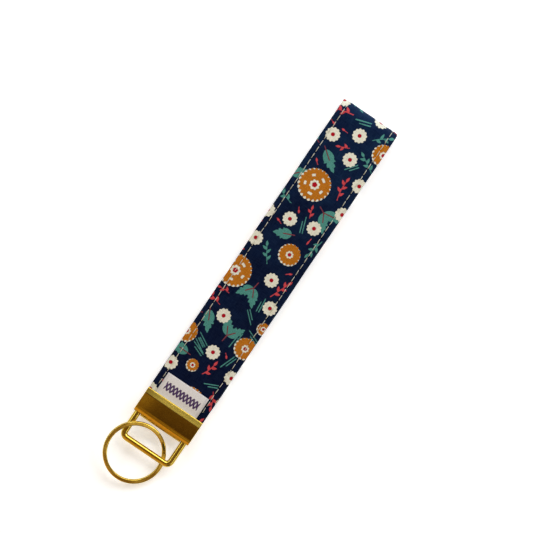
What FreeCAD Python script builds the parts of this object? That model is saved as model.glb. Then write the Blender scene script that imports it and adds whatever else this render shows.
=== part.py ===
"""Wristlet keychain: a looped fabric strap, gripped by a crimped metal clamp that carries a wire loop and a split ring.

Frame, in millimetres: X runs across the strap, +Y runs from the clamp along the strap to its fold, and +Z is up.
The origin is the centre of the flat back face of the clamp, which lies on the table with the strap's lower layer.
"""

import FreeCAD, Part
import math
import os

V = FreeCAD.Vector

# ---- Driving dimensions -------------------------------------------------------------------------------------

# Strap
strap_width = 25.9          # over the folded long edges
strap_thickness = 1.9       # one layer: fabric, core, fabric
strap_reach = 138.4         # lips of the clamp to the outside of the fold
cover_wall = 0.45           # folded fabric on each side of the core
core_edge_margin = 0.9      # fabric beyond the core's long edges
fold_height = 9.4           # overall height of the loop at its fold
settle_length = 14.0        # from the lips to where the lower layer lies flat
layer_gap = 0.04            # between the two gripped ends
edge_round = 0.4            # rounding of the long edges

# Stitching
stitch_inset = 2.5          # seam line to the strap's edge
thread_width = 0.30
thread_depth = 0.22
baste_setback = 1.6         # seam across the gripped ends, from their cut edge
baste_thread = 0.30
baste_stitch = 4.0          # longest stitch of that seam
baste_margin = 3.0          # end of that seam to the strap's edge

# Label
label_margin = 3.25         # label's side to the strap's edge
label_reach = 9.2           # shown beyond the lips
label_thickness = 0.46      # two plies of ribbon
label_tail = 5.0            # held inside the clamp

# Clamp
sheet = 0.9
clamp_overhang = 0.05       # clamp past the strap's edge
clamp_length = 11.6         # nose to lips
lip_length = 2.5
lip_angle = 13.0            # degrees that a lip leans inwards
lip_bend_radius = 1.4       # middle of the sheet
edge_break = 0.18           # rounded sheet edges
lip_round = 0.40            # outer edge of each lip
tooth_height = 0.28
tooth_length = 0.6
teeth_per_jaw = 20
tooth_share = 0.8           # of the tooth's pitch that its base takes

# Wire loop
wire_diameter = 2.7
leg_inset = 0.65            # legs' outside to the clamp's ends
wire_corner_radius = 2.0    # middle of the wire
bar_reach = 13.35           # pivot to the middle of the outer bar
butt_gap = 0.12             # between the wire's two ends
wire_swing = 15.0           # degrees each way from the middle of the clamp

# Split ring
ring_diameter = 25.4
ring_wall = 1.7             # radial width of the wire
coil_height = 0.90
coil_gap = 0.04
coil_round = 0.42           # corners of the wire's section
jog_start = 31.0            # degrees, where the upper coil ends
jog_turn = 24.0             # degrees over which the wire changes level
ring_leg_reach = 7.95       # ring's centre to the middle of the left leg, over which it lies
ring_leg_gap = 0.05         # ring to the inside of the right leg, seen from above
ring_nose_gap = 0.60        # ring to the nose of the clamp, seen from above

# Clearances
press_clearance = 0.06      # fabric to metal at the lips
jaw_clearance = 0.14        # fabric to metal inside the jaws
core_clearance = 0.02
thread_clearance = 0.02
label_clearance = 0.02
end_clearance = 0.35        # gripped ends to the wire's inner bar
notch_clearance = 0.15
rest_clearance = 0.25       # between ring and wire where they cross

# ---- Worked out from them -----------------------------------------------------------------------------------

wire_radius = wire_diameter / 2
label_stack = label_clearance + label_thickness
jaw_gap = 2 * strap_thickness + layer_gap + label_stack + 2 * jaw_clearance
bend_inside = jaw_gap / 2
bend_outside = bend_inside + sheet
clamp_height = jaw_gap + 2 * sheet
jaw_flat = clamp_length - bend_outside - lip_length
y_jaw = jaw_flat / 2                        # where the flat jaw turns into the lip
y_pivot = -jaw_flat / 2
z_pivot = clamp_height / 2
y_nose = y_pivot - bend_outside
y_lip = y_jaw + lip_length
lip_drop = lip_length * math.tan(math.radians(lip_angle))

y_strap_end = y_pivot + wire_radius + end_clearance
y_settled = y_lip + settle_length
y_fold_tip = y_lip + strap_reach
y_fold = y_fold_tip - fold_height / 2
z_fold = fold_height / 2
core_width = strap_width - 2 * core_edge_margin
label_width = strap_width - 2 * label_margin
clamp_width = strap_width + 2 * clamp_overhang
seam_x = strap_width / 2 - stitch_inset

leg_x = clamp_width / 2 - leg_inset - wire_radius
y_bar = y_pivot - bar_reach

ring_radius = ring_diameter / 2
ring_middle = ring_radius - ring_wall / 2
ring_height = 2 * coil_height + coil_gap
ring_side = min(ring_leg_reach - leg_x, leg_x - wire_radius - ring_leg_gap - ring_radius)
ring_y = y_nose - ring_nose_gap - ring_radius


def flat_levels(gap_low, gap_high):
    """Heights of the four strap surfaces between two gripping faces: lower outer, lower inner, upper inner, upper outer."""
    room = gap_high - gap_low - label_stack - layer_gap
    layer = min(strap_thickness, room / 2)
    return gap_low, gap_low + layer, gap_low + layer + layer_gap, gap_low + 2 * layer + layer_gap


jaw_levels = flat_levels(sheet + jaw_clearance, clamp_height - sheet - jaw_clearance)
lip_levels = flat_levels(
    sheet + lip_drop + press_clearance, clamp_height - sheet - lip_drop - press_clearance
)
settled_levels = (
    0.0,
    strap_thickness,
    max(lip_levels[2], strap_thickness + layer_gap),
    max(lip_levels[2], strap_thickness + layer_gap) + strap_thickness,
)


# ---- Helpers ------------------------------------------------------------------------------------------------

def line(a, b):
    return Part.makeLine(V(0, *a), V(0, *b))


def arc(centre, radius, start, end):
    """Arc in the YZ plane, with angles in degrees from +Y towards +Z."""
    def at(angle):
        a = math.radians(angle)
        return V(0, centre[0] + radius * math.cos(a), centre[1] + radius * math.sin(a))
    return Part.Arc(at(start), at((start + end) / 2), at(end)).toShape()


def ease(a, b):
    """Curve in the YZ plane that leaves a and reaches b level, like a clamped leaf spring."""
    third = (b[0] - a[0]) / 3
    curve = Part.BezierCurve()
    curve.setPoles([V(0, *a), V(0, a[0] + third, a[1]), V(0, b[0] - third, b[1]), V(0, *b)])
    return curve.toShape()


def face(edges):
    return Part.Face(Part.Wire(Part.__sortEdges__(edges)))


def across(shape, width, middle=0.0):
    """A face in the YZ plane pushed out along X, the same amount each side of middle."""
    solid = shape.extrude(V(width, 0, 0))
    solid.translate(V(middle - width / 2, 0, 0))
    return solid


def box(low, high):
    return Part.makeBox(high[0] - low[0], high[1] - low[1], high[2] - low[2], V(*low))


def rounded_run(points, radii, offset=0.0):
    """Edges of straight runs through the (y, z) points, with tangent arcs at the corners, moved sideways by offset."""
    pts = [V(0, *p) for p in points]
    heads = [(b - a).normalize() for a, b in zip(pts, pts[1:])]
    sides = [V(0, -h.z, h.y) for h in heads]
    starts, ends, arcs = [pts[0] + sides[0] * offset], [], []
    for k, radius in enumerate(radii):
        turn = heads[k].getAngle(heads[k + 1])
        left = heads[k].cross(heads[k + 1]).x > 0
        reach = radius * math.tan(turn / 2)
        toward = sides[k] if left else -sides[k]
        centre = pts[k + 1] - heads[k] * reach + toward * radius
        own = radius - offset if left else radius + offset
        away = -sides[k] if left else sides[k]
        away_next = -sides[k + 1] if left else sides[k + 1]
        a, b = centre + away * own, centre + away_next * own
        middle = centre + (away + away_next).normalize() * own
        ends.append(a)
        arcs.append(Part.Arc(a, middle, b).toShape())
        starts.append(b)
    ends.append(pts[-1] + sides[-1] * offset)
    edges = []
    for k, (a, b) in enumerate(zip(starts, ends)):
        if a.distanceToPoint(b) > 1e-6:
            edges.append(Part.makeLine(a, b))
        if k < len(arcs):
            edges.append(arcs[k])
    return edges, starts[0], ends[-1]


# ---- Strap --------------------------------------------------------------------------------------------------

def outline(side, inset=0.0):
    """The strap's outer (side 0) or inner (side 1) line in the YZ plane, from one gripped end round the fold to the other.

    inset moves the line into the fabric, and a negative inset moves it out.
    """
    into = inset if side == 0 else -inset
    low, high = (0, 3) if side == 0 else (1, 2)
    radius = fold_height / 2 - (strap_thickness if side else 0.0) - into
    upper = [
        (y_strap_end, jaw_levels[high] - into),
        (y_jaw, jaw_levels[high] - into),
        (y_lip, lip_levels[high] - into),
    ]
    lower = [
        (y_lip, lip_levels[low] + into),
        (y_jaw, jaw_levels[low] + into),
        (y_strap_end, jaw_levels[low] + into),
    ]
    upper_settled = (y_settled, settled_levels[high] - into)
    lower_settled = (y_settled, settled_levels[low] + into)
    edges = [line(a, b) for a, b in zip(upper, upper[1:])]
    edges += [
        ease(upper[-1], upper_settled),
        ease(upper_settled, (y_fold, z_fold + radius)),
        arc((y_fold, z_fold), radius, 90, -90),
        line((y_fold, z_fold - radius), lower_settled),
        ease(lower_settled, lower[0]),
    ]
    edges += [line(a, b) for a, b in zip(lower, lower[1:])]
    return edges, upper[0], lower[-1]


def strip(first, second):
    """The face between two outlines."""
    (a, a_top, a_low), (b, b_top, b_low) = first, second
    return face(a + b + [line(a_top, b_top), line(a_low, b_low)])


def bite_relief():
    """The room that the rows of teeth take in whatever the lips grip."""
    low, high = y_lip - tooth_length - press_clearance, y_lip + press_clearance
    depth = sheet + lip_drop + tooth_height + press_clearance
    half = clamp_width / 2 + 1
    lower = box((-half, low, 0), (half, high, depth))
    upper = box((-half, low, clamp_height - depth), (half, high, clamp_height))
    return Part.makeCompound([lower, upper])


def make_strap_cover():
    """Printed cotton, folded round the core, with its raw ends inside the clamp."""
    outside = across(strip(outline(0), outline(1)), strap_width)
    round_by = min(edge_round, 0.4 * (lip_levels[1] - lip_levels[0]))
    long_edges = [
        e for e in outside.Edges
        if e.BoundBox.XLength < 1e-6 and abs(abs(e.BoundBox.XMax) - strap_width / 2) < 1e-6
        and abs(e.BoundBox.YMin - y_strap_end) + e.BoundBox.YLength > 1e-6
    ]
    outside = outside.makeFillet(round_by, long_edges)
    pocket = across(strip(outline(0, cover_wall), outline(1, cover_wall)), core_width)
    return outside.cut(pocket).cut(bite_relief())


def make_strap_core():
    """Fleece strip inside the cover."""
    inset = cover_wall + core_clearance
    core = across(strip(outline(0, inset), outline(1, inset)), core_width - 2 * core_clearance)
    return core.cut(bite_relief())


def make_edge_thread(side, x):
    """One thread of a seam along the strap, up to the teeth: side 0 lies in the outer face, side 1 in the inner face."""
    run = across(strip(outline(side), outline(side, thread_depth)), thread_width, x)
    held = box((-strap_width, y_strap_end - 1, 0), (strap_width, y_lip + press_clearance, clamp_height))
    return run.cut(held)


def make_basting_thread(room=0.0):
    """Stitches through both gripped ends, which hold them together for crimping, with room left around the thread."""
    y = y_strap_end + baste_setback
    seam = strap_width - 2 * baste_margin
    pitch = seam / math.ceil(seam / baste_stitch)
    top, bottom = jaw_levels[3] + room, jaw_levels[0] - room
    half = baste_thread / 2 + room
    thick = baste_thread + 2 * room
    pieces = [
        box((-seam / 2 - half, y - half, level), (seam / 2 + half, y + half, level + thick))
        for level in (bottom, top - thick)
    ]
    for k in range(math.ceil(seam / baste_stitch) + 1):
        x = k * pitch - seam / 2
        pieces.append(box((x - half, y - half, bottom), (x + half, y + half, top)))
    return pieces[0].multiFuse(pieces[1:]).removeSplitter()


def make_label():
    """Woven ribbon, folded at its top, held by the upper lip on the outside of the strap."""
    sheet_on_strap = across(
        strip(outline(0, -label_clearance), outline(0, -label_stack)), label_width
    )
    keep = box(
        (-label_width, y_lip - label_tail, z_pivot),
        (label_width, y_lip + label_reach, fold_height),
    )
    return sheet_on_strap.common(keep).cut(bite_relief())


# ---- Clamp and wire loop ------------------------------------------------------------------------------------

def jaw_profile():
    """The bent sheet seen from the side: lip, jaw, round nose, jaw, lip."""
    middle = bend_inside + sheet / 2
    lean = math.radians(lip_angle)
    drop = lip_length * math.tan(lean)
    y_back = y_pivot - middle
    points = [
        (y_lip, z_pivot + middle - drop),
        (y_jaw, z_pivot + middle),
        (y_back, z_pivot + middle),
        (y_back, z_pivot - middle),
        (y_jaw, z_pivot - middle),
        (y_lip, z_pivot - middle + drop),
    ]
    radii = [lip_bend_radius, middle, middle, lip_bend_radius]
    one, one_start, one_end = rounded_run(points, radii, sheet / 2)
    two, two_start, two_end = rounded_run(points, radii, -sheet / 2)
    return face(one + two + [Part.makeLine(one_start, two_start), Part.makeLine(one_end, two_end)])


def tooth(x, level, height):
    """A pointed tooth on a lip, from the level of the sheet towards the fabric."""
    half = clamp_width / teeth_per_jaw * tooth_share / 2
    y = y_lip - tooth_length
    corners = [V(x - half, y, level), V(x + half, y, level), V(x, y, level + height)]
    shape = Part.Face(Part.makePolygon(corners + corners[:1]))
    return shape.extrude(V(0, tooth_length, 0))


def make_clamp_body():
    """One stamping, folded round the wire's inner bar and crimped onto the strap."""
    body = across(jaw_profile(), clamp_width)
    outside = bend_outside - lip_drop - 0.5 * sheet
    lips = [
        e for e in body.Edges
        if e.BoundBox.YMin > y_jaw + lip_length / 2 and abs(e.BoundBox.ZMax - z_pivot) > outside
        and e.BoundBox.XLength > edge_break
    ]
    body = body.makeFillet(min(lip_round, 0.47 * sheet), lips)
    ends = [
        e for e in body.Edges
        if e.BoundBox.XLength < 1e-6 and abs(abs(e.BoundBox.XMax) - clamp_width / 2) < 1e-6
    ]
    body = body.makeFillet(min(edge_break, 0.3 * sheet), ends)
    reach = math.radians(wire_swing) + math.asin((wire_radius + notch_clearance) / bend_outside)
    notch_half = bend_outside * math.sin(reach)
    notch_from = leg_x - wire_radius - notch_clearance
    for sign in (-1, 1):
        x = sorted((sign * notch_from, sign * (clamp_width / 2 + 1)))
        body = body.cut(box(
            (x[0], y_nose - 1, z_pivot - notch_half), (x[1], y_pivot, z_pivot + notch_half)
        ))
    pitch = clamp_width / teeth_per_jaw
    root = 0.4 * sheet
    lip_inside = sheet + lip_drop
    teeth = []
    for k in range(teeth_per_jaw):
        x = (k + 0.5) * pitch - clamp_width / 2
        teeth.append(tooth(x, lip_inside - root, root + tooth_height))
        teeth.append(tooth(x, clamp_height - lip_inside + root, -root - tooth_height))
    return body.multiFuse(teeth).removeSplitter()


def lean_and_tilt():
    """How the ring and the wire loop rest: the ring lies on the table, passes over one leg and under the outer bar.

    Returns the wire loop's slope, the ring's tilt angle, the height of its centre, and the level direction in which
    its plane climbs. The two slopes meet where each crossing has just the stack's height between the middles.
    """
    stack = ring_height / 2 + wire_radius + rest_clearance
    across_leg = -leg_x - ring_side
    up_leg = math.sqrt(ring_middle ** 2 - across_leg ** 2)
    up_bar = y_bar - ring_y
    across_bar = math.sqrt(ring_middle ** 2 - up_bar ** 2)
    way = V(across_leg - across_bar, up_leg - up_bar, 0)
    half_span = way.Length / 2
    way.normalize()
    leg_reach = y_pivot - (ring_y + up_leg)
    tilt = slope = 0.0
    height = z_pivot
    for _ in range(40):
        tilt = math.atan((stack + (leg_reach - bar_reach) * slope / 2) / half_span)
        height = ring_radius * math.sin(tilt) + ring_height / 2 * math.cos(tilt)
        slope = 2 * (height - z_pivot) / (leg_reach + bar_reach)
    return slope, tilt, height, way


def make_wire_loop(slope):
    """Round wire bent to a rectangle. Its inner bar, where the ends butt, lies in the nose of the clamp."""
    def at(x, y):
        return V(x, y, z_pivot)

    r = wire_corner_radius
    k = r * (1 - math.sqrt(0.5))
    edges = [
        Part.makeLine(at(butt_gap / 2, y_pivot), at(leg_x - r, y_pivot)),
        Part.Arc(at(leg_x - r, y_pivot), at(leg_x - k, y_pivot - k), at(leg_x, y_pivot - r)).toShape(),
        Part.makeLine(at(leg_x, y_pivot - r), at(leg_x, y_bar + r)),
        Part.Arc(at(leg_x, y_bar + r), at(leg_x - k, y_bar + k), at(leg_x - r, y_bar)).toShape(),
        Part.makeLine(at(leg_x - r, y_bar), at(r - leg_x, y_bar)),
        Part.Arc(at(r - leg_x, y_bar), at(k - leg_x, y_bar + k), at(-leg_x, y_bar + r)).toShape(),
        Part.makeLine(at(-leg_x, y_bar + r), at(-leg_x, y_pivot - r)),
        Part.Arc(at(-leg_x, y_pivot - r), at(k - leg_x, y_pivot - k), at(r - leg_x, y_pivot)).toShape(),
        Part.makeLine(at(r - leg_x, y_pivot), at(-butt_gap / 2, y_pivot)),
    ]
    section = Part.Wire(Part.makeCircle(wire_radius, at(butt_gap / 2, y_pivot), V(1, 0, 0)))
    loop = Part.Wire(edges).makePipeShell([section], True, True)
    loop.rotate(at(0, y_pivot), V(1, 0, 0), -math.degrees(math.atan(slope)))
    return loop


# ---- Split ring ---------------------------------------------------------------------------------------------

def wire_section(level, angle):
    """Rounded section of the ring's wire, upright in the radial plane at this angle in degrees."""
    w, h, r = ring_wall / 2, coil_height / 2, coil_round
    k = r * (1 - math.sqrt(0.5))

    def at(x, z):
        return V(ring_middle + x, 0, level + z)

    edges = []
    for sx, sz in ((1, 1), (-1, 1), (-1, -1), (1, -1)):
        side_end, top_end = at(sx * w, sz * (h - r)), at(sx * (w - r), sz * h)
        middle = at(sx * (w - k), sz * (h - k))
        a, b = (side_end, top_end) if sx * sz > 0 else (top_end, side_end)
        if edges:
            edges.append(Part.makeLine(edges[-1].Vertexes[-1].Point, a))
        edges.append(Part.Arc(a, middle, b).toShape())
    edges.append(Part.makeLine(edges[-1].Vertexes[-1].Point, edges[0].Vertexes[0].Point))
    section = Part.Wire(edges)
    section.rotate(V(0, 0, 0), V(0, 0, 1), angle)
    return section


def make_split_ring(tilt, height, way):
    """One hardened wire in two coils. It drops a level in a short jog, beside which each coil ends."""
    level = (coil_height + coil_gap) / 2
    jog_end = jog_start + jog_turn
    coils = [
        Part.Face(wire_section(z, jog_end)).revolve(V(0, 0, 0), V(0, 0, 1), 360 - jog_turn)
        for z in (level, -level)
    ]
    steps = 8
    sections = []
    for k in range(steps + 1):
        s = k / steps
        drop = s * s * (3 - 2 * s)
        sections.append(wire_section(level * (2 * drop - 1), jog_start + jog_turn * s))
    jog = Part.makeLoft(sections, True, False)
    ring = coils[0].multiFuse([coils[1], jog])
    ring.rotate(V(0, 0, 0), V(way.y, -way.x, 0), math.degrees(tilt))
    ring.translate(V(ring_side, ring_y, height))
    return ring


# ---- All the pieces -----------------------------------------------------------------------------------------

def main():
    slope, tilt, height, way = lean_and_tilt()
    needle_holes = make_basting_thread(thread_clearance)
    pieces = {
        "clamp_body": make_clamp_body(),
        "wire_loop": make_wire_loop(slope),
        "split_ring": make_split_ring(tilt, height, way),
        "strap_cover": make_strap_cover(),
        "strap_core": make_strap_core().cut(needle_holes),
        "left_needle_thread": make_edge_thread(0, -seam_x),
        "right_needle_thread": make_edge_thread(0, seam_x),
        "left_bobbin_thread": make_edge_thread(1, -seam_x),
        "right_bobbin_thread": make_edge_thread(1, seam_x),
        "basting_thread": make_basting_thread(),
        "label": make_label(),
    }
    seams = [shape for name, shape in pieces.items() if name.endswith(("needle_thread", "bobbin_thread"))]
    pieces["strap_cover"] = pieces["strap_cover"].cut(seams + [needle_holes])
    os.makedirs("parts", exist_ok=True)
    for name, shape in pieces.items():
        print(f"{name}: {len(shape.Solids)} solid(s), valid {shape.isValid()}, {shape.Volume:.2f} mm3")
        shape.exportStep(f"parts/{name}.step")
    print(f"wire loop leans up {math.degrees(math.atan(slope)):.3f} degrees, pivot y {y_pivot:.3f} z {z_pivot:.3f}")
    bar_z = z_pivot + bar_reach * math.sin(math.atan(slope))
    bar_y = y_pivot - bar_reach * math.cos(math.atan(slope))
    print(f"outer bar y {bar_y:.4f} z {bar_z:.4f}; lips y {y_lip:.3f}; fold tip y {y_fold_tip:.3f}")
    print(f"ring centre {ring_side:.3f}, {ring_y:.3f}, {height:.3f}, tilt {math.degrees(tilt):.3f} degrees")


main()
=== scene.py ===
# %% [markdown]
# # A wristlet keychain, built round its frame
#
# A band of padded, printed cotton is looped over, and its two ends are crimped in a gold-coloured clamp.
# A wire loop swings in the clamp's nose and carries a split ring. The metal parts come ready from the
# frame, so they only need a finish. The cotton, its stitches and its woven label are made here, because
# their charm is in soft detail.
#
# Work starts by loading the frame, whose sizes the new pieces are built to.

# %% Load the frame
import math

import bpy
import numpy as np
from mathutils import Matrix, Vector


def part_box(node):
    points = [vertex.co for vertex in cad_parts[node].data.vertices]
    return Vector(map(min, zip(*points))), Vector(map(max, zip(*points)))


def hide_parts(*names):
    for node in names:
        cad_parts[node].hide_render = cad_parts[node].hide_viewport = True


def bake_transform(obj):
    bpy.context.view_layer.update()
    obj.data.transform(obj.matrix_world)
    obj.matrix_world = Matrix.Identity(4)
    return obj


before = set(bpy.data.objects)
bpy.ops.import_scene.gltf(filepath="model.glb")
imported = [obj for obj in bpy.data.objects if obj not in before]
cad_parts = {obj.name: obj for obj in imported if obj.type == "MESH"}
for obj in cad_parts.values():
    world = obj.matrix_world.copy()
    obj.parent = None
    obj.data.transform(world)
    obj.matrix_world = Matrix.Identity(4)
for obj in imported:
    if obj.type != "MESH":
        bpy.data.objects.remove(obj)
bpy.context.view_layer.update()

MM = 0.001
print("frame:", sorted(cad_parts))

# %% [markdown]
# ## Sizes taken from the frame
#
# Places are read from the frame's own solids, in millimetres, so that cloth and metal meet where they
# should. X runs across the strap, Y runs along it from the clamp, and Z is up from the table.

# %% Read the sizes
X, Y, Z = 0, 1, 2


def span(node, axis):
    """Lowest and highest coordinate of a node along one axis, in millimetres."""
    low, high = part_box(node)
    return low[axis] / MM, high[axis] / MM


half_width = span("strap_cover", X)[1]
strap_end, fold_tip = span("strap_cover", Y)
fold_height = span("strap_cover", Z)[1]
lips = span("clamp_body", Y)[1]
clamp_height = span("clamp_body", Z)[1]
seam_x = sum(span("right_needle_thread", X)) / 2
label_half_width = span("label", X)[1]
label_foot, label_top = span("label", Y)

strap_thickness = 1.9       # one layer: cotton, fleece, cotton
pinched_thickness = 1.403   # one layer between the clamp's lips
middle_gap = 0.04           # between the two gripped ends
lip_length = 2.5
settle_length = 14.0        # from the lips to where the lower layer lies flat
label_ply = 0.21            # one thickness of ribbon
label_gap = 0.02            # between its two plies, and between it and the strap
label_sink = (2 * label_ply + label_gap + 0.04) / 2     # how far the label pushes the strap down
middle_level = clamp_height / 2 - label_sink
swell = strap_thickness - pinched_thickness
y_fold = fold_tip - fold_height / 2
y_settled = lips + settle_length
print(f"strap {2 * half_width:.1f} mm wide, from y {strap_end:.2f} to {fold_tip:.2f}, lips at y {lips:.2f}")

# %% [markdown]
# ## Two helpers for meshes
#
# Every new surface is a grid of points, worked out as whole arrays. One helper numbers a grid's faces,
# and the other makes an object whose faces point outwards.

# %% Grids and meshes
def grid_faces(rows, columns, closed=True):
    """Corners of every face of a grid, rows by columns. Its last column joins the first when closed."""
    across = columns if closed else columns - 1
    r, c = np.meshgrid(np.arange(rows - 1), np.arange(across), indexing="ij")
    here, beyond = r * columns, (r + 1) * columns
    following = (c + 1) % columns
    corners = [here + c, here + following, beyond + following, beyond + c]
    return np.stack(corners, -1).reshape(-1, 4)


def fan(ring, centre):
    """Triangles from a ring of point numbers to a centre point, for closing an end."""
    return np.stack([ring, np.roll(ring, -1), np.full(len(ring), centre)], -1)


def signed_volume(points, faces):
    """Volume inside faces that point outwards: the sum over triangles of a . (b x c) / 6."""
    total = 0.0
    for k in range(1, faces.shape[1] - 1):
        a, b, c = points[faces[:, 0]], points[faces[:, k]], points[faces[:, k + 1]]
        total += (a * np.cross(b, c)).sum() / 6
    return total


def make_piece(name, points, quads, triangles=None, uv=None, fields=None):
    """An object from points in mm.

    uv holds a (u, v) for each corner of the quads, then of the triangles. fields hold one number a point.
    """
    groups = [quads] if triangles is None else [quads, triangles]
    if sum(signed_volume(points, g) for g in groups) < 0:
        groups = [g[:, ::-1] for g in groups]
        uv = None if uv is None else [u[:, ::-1] for u in uv]
    mesh = bpy.data.meshes.new(name)
    mesh.from_pydata((points * MM).tolist(), [], [f for g in groups for f in g.tolist()])
    mesh.polygons.foreach_set("use_smooth", np.ones(len(mesh.polygons), bool))
    if uv is not None:
        layer = mesh.uv_layers.new(name="cloth")
        corners = np.concatenate([u.reshape(-1, 2) for u in uv])
        layer.data.foreach_set("uv", corners.astype(np.float32).ravel())
    for key, values in (fields or {}).items():
        layer = mesh.attributes.new(key, "FLOAT", "POINT")
        layer.data.foreach_set("value", values.astype(np.float32).ravel())
    mesh.update()
    piece = bpy.data.objects.new(name, mesh)
    bpy.context.scene.collection.objects.link(piece)
    triangle_count = sum(len(g) * (g.shape[1] - 2) for g in groups)
    print(f"{name}: {len(points)} points, {triangle_count} triangles")
    return piece


def ease(x, start, end):
    """0 before start, 1 after end, and 3s^2 - 2s^3 between them, where s is the share of the way."""
    s = np.clip((x - start) / (end - start), 0, 1)
    return s * s * (3 - 2 * s)


# %% [markdown]
# ## The strap's path
#
# Seen from the side the strap is a long flat loop. Its two ends leave the clamp pressed together, the
# lower layer settles on the table within a couple of centimetres, and the upper one climbs slowly to a
# round fold. Each row of the grid is one station along that path, with a point on the outside of the loop
# and a point on the inside. From them come the cloth's middle, the direction square to it, and its
# thickness.

# %% Stations along the strap
def upper_outside(y):
    """Height of the upper layer's outer face: pinched at the lips, and from there it climbs to the fold."""
    lip_level = middle_level + middle_gap / 2 + pinched_thickness
    inside_jaw = swell * np.clip((lips - y) / lip_length, 0, 1)
    climb = fold_height - lip_level - swell
    return lip_level + inside_jaw + swell * ease(y, lips, y_settled) + climb * ease(y, y_settled, y_fold)


def upper_inside(y):
    """Height of the upper layer's inner face."""
    start = middle_level + middle_gap / 2
    return start + (fold_height - strap_thickness - start) * ease(y, y_settled, y_fold)


def lower_inside(y):
    """Height of the lower layer's inner face, which sinks to one thickness above the table."""
    start = middle_level - middle_gap / 2
    return start + (strap_thickness - start) * ease(y, lips, y_settled)


def lower_outside(y):
    """Height of the lower layer's outer face, which rises from the table into the clamp."""
    lip_level = middle_level - middle_gap / 2 - pinched_thickness
    return lip_level * (1 - ease(y, lips, y_settled)) - swell * np.clip((lips - y) / lip_length, 0, 1)


def stations(fine, coarse, inset=0.0):
    """Middle, outward direction, half thickness and distance along, for each row from one end to the other.

    fine and coarse are the spacings on the upper and the lower layer, and inset thins both faces.
    """
    y_up = np.linspace(strap_end + inset, y_fold, int((y_fold - strap_end) / fine))
    turn = np.radians(np.linspace(90, -90, int(math.pi * fold_height / 2 / fine) + 1))[1:-1]
    y_down = np.linspace(y_fold, strap_end + inset, int((y_fold - strap_end) / coarse))
    big, small = fold_height / 2, fold_height / 2 - strap_thickness
    outside = np.concatenate([
        np.stack([y_up, upper_outside(y_up)], -1),
        np.stack([y_fold + big * np.cos(turn), big + big * np.sin(turn)], -1),
        np.stack([y_down, lower_outside(y_down)], -1),
    ])
    inside = np.concatenate([
        np.stack([y_up, upper_inside(y_up)], -1),
        np.stack([y_fold + small * np.cos(turn), big + small * np.sin(turn)], -1),
        np.stack([y_down, lower_inside(y_down)], -1),
    ])
    middle = (outside + inside) / 2
    across = outside - inside
    thick = np.linalg.norm(across, axis=1)
    steps = np.linalg.norm(np.diff(middle, axis=0), axis=1)
    along = np.concatenate([[0], np.cumsum(steps)])
    along -= np.interp(lips, y_up, along[: len(y_up)])
    return middle, across / thick[:, None], thick / 2 - inset, along


middle, outward, half_thick, along = stations(0.36, 0.8)
print(f"{len(middle)} rows along a strap {along[-1] - along[0]:.1f} mm long")

# %% [markdown]
# ## The strap's section
#
# Across, the strap is a flat tube of cotton: two faces joined by soft rolled edges. The two folded raw
# edges meet in the middle of the left side, in a fine crease. A row of stitches runs near each side and
# pulls the cloth down in a channel, with a little pucker from one needle hole to the next. Each of these
# is a formula of the place across and the distance along.

# %% Section and relief
edge_roll = 0.85            # how far in from the side the cloth starts to turn
stitch_pitch = 3.0
channel_depth = 0.30
channel_width = 0.42
rng = np.random.default_rng(7)


def section(outer_count, inner_count, side_count):
    """Place across, height from -1 (inside) to 1 (outside) and distance round, for each column.

    Columns start at the left crease, and the distance is 0 in the middle of the outer face.
    """
    flat = half_width - edge_roll
    quarter = np.radians(np.linspace(180, 90, side_count // 2 + 1))
    right = np.radians(np.linspace(90, -90, side_count + 1))
    last = np.radians(np.linspace(-90, -180, side_count // 2 + 1))
    x = np.concatenate([
        -flat + edge_roll * np.cos(quarter[:-1]),
        np.linspace(-flat, flat, outer_count)[:-1],
        flat + edge_roll * np.cos(right[:-1]),
        np.linspace(flat, -flat, inner_count)[:-1],
        -flat + edge_roll * np.cos(last[:-1]),
    ])
    height = np.concatenate([
        np.sin(quarter[:-1]),
        np.ones(outer_count - 1),
        np.sin(right[:-1]),
        -np.ones(inner_count - 1),
        np.sin(last[:-1]),
    ])
    ring = np.stack([x, height * strap_thickness / 2], -1)
    steps = np.linalg.norm(np.diff(np.vstack([ring, ring[:1]]), axis=0), axis=1)
    round_it = np.concatenate([[0], np.cumsum(steps)])
    outer = slice(0, side_count // 2 + outer_count)
    return x, height, round_it - np.interp(0, x[outer], round_it[outer])


def waves(count, size, slope=0.0):
    """A smooth random function of (across, along): a sum of sines with wavelengths of about size mm."""
    turn = rng.uniform(0, 2 * math.pi, count)
    reach = size * rng.uniform(0.7, 1.6, count)
    angle = rng.normal(slope, 0.5, count)

    def value(x, q):
        total = 0.0
        for t, r, a in zip(turn, reach, angle):
            total = total + np.sin(2 * math.pi * (x * math.sin(a) + q * math.cos(a)) / r + t)
        return total / math.sqrt(count)

    return value


slack = waves(7, 24.0)
creases = waves(9, 6.0, slope=0.5)


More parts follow.
